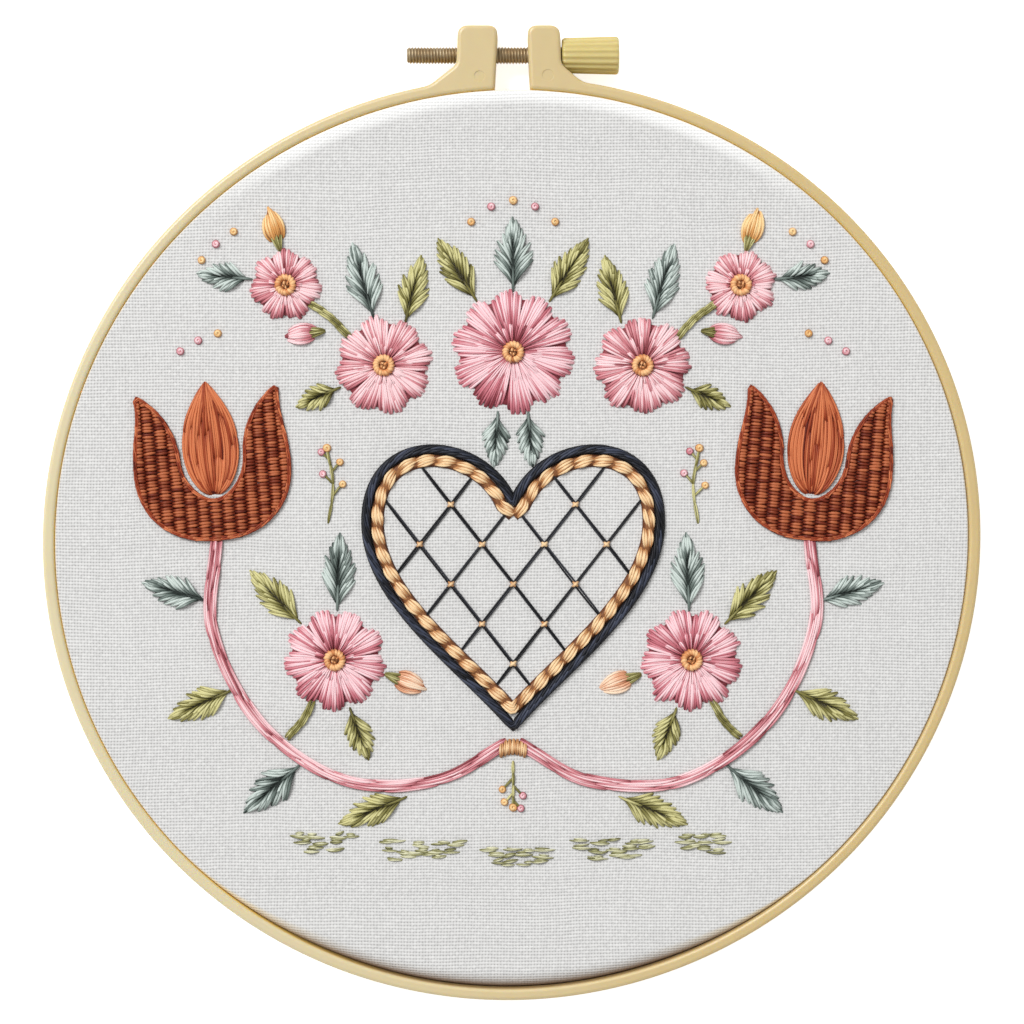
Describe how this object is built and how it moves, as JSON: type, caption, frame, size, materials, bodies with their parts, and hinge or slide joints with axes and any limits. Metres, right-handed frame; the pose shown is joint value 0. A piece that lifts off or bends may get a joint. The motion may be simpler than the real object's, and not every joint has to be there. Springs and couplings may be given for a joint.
{
  "type": "embroidered cloth in a screw hoop",
  "caption": "Round linen held drum-tight between two plastic rings, embroidered with a heart, tulips, daisies and leaves. A fluted thumbscrew through two lugs clamps the outer ring.",
  "frame": {"origin": "middle of the whole object's box in X and Y, at the flat back of the rings", "axes": "+Z out of the cloth's stitched face, +Y towards the screw and its lugs, +X to the right of the face, towards the knob"},
  "size_m": [0.21, 0.2186, 0.0113],
  "materials": {
    "cream_plastic": "satin",
    "linen": "plain weave",
    "zinc_steel": "yellow zinc plated",
    "navy_thread": "stranded cotton",
    "black_thread": "stranded cotton",
    "tan_thread": "stranded cotton",
    "pink_thread": "stranded cotton",
    "rust_thread": "stranded cotton",
    "copper_thread": "stranded cotton",
    "sage_thread": "stranded cotton",
    "olive_thread": "stranded cotton",
    "ochre_thread": "stranded cotton",
    "peach_thread": "stranded cotton"
  },
  "bodies": {
    "hoop": {"bud_lower_left": "peach_thread", "bud_lower_right": "peach_thread", "bud_outer_left": "ochre_thread", "bud_outer_right": "ochre_thread", "bud_upper_left": "pink_thread", "bud_upper_right": "pink_thread", "cloth": "linen", "daisy_lower_left": "pink_thread", "daisy_lower_right": "pink_thread", "daisy_outer_left": "pink_thread", "daisy_outer_right": "pink_thread", "daisy_top": "pink_thread", "daisy_upper_left": "pink_thread", "daisy_upper_right": "pink_thread", "heart_chain": "tan_thread", "heart_lattice": "black_thread", "heart_rope": "navy_thread", "inner_ring": "cream_plastic", "leaf_cleft_left": "sage_thread", "leaf_cleft_right": "sage_thread", "leaf_lower_down_left": "olive_thread", "leaf_lower_down_right": "olive_thread", "leaf_lower_side_left": "olive_thread", "leaf_lower_side_right": "olive_thread", "leaf_lower_tall_left": "sage_thread", "leaf_lower_tall_right": "sage_thread", "leaf_outer_left": "sage_thread", "leaf_outer_right": "sage_thread", "leaf_stem_high_left": "sage_thread", "leaf_stem_high_right": "sage_thread", "leaf_stem_low_left": "olive_thread", "leaf_stem_low_right": "olive_thread", "leaf_stem_middle_left": "sage_thread", "leaf_stem_middle_right": "sage_thread", "leaf_stem_side_left": "olive_thread", "leaf_stem_side_right": "olive_thread", "leaf_top": "sage_thread", "leaf_top_side_left": "olive_thread", "leaf_top_side_right": "olive_thread", "leaf_upper_inner_left": "olive_thread", "leaf_upper_inner_right": "olive_thread", "leaf_upper_low_left": "olive_thread", "leaf_upper_low_right": "olive_thread", "leaf_upper_tall_left": "sage_thread", "leaf_upper_tall_right": "sage_thread", "outer_ring": "cream_plastic", "stem_left": "pink_thread", "stem_right": "pink_thread", "tulip_left_cup": "rust_thread", "tulip_left_petal": "copper_thread", "tulip_right_cup": "rust_thread", "tulip_right_petal": "copper_thread", "vine_lower_left": "olive_thread", "vine_lower_right": "olive_thread", "vine_upper_left": "olive_thread", "vine_upper_right": "olive_thread"},
    "thumbscrew": {"screw_rod": "zinc_steel", "screw_knob": "cream_plastic"}
  },
  "joints": [
    {"name": "thumbscrew_turn", "type": "hinge", "parent": "hoop", "child": "thumbscrew", "pos_m": [0, 0.10305, 0.0046], "axis": [1, 0, 0], "continuous": true}
  ]
}
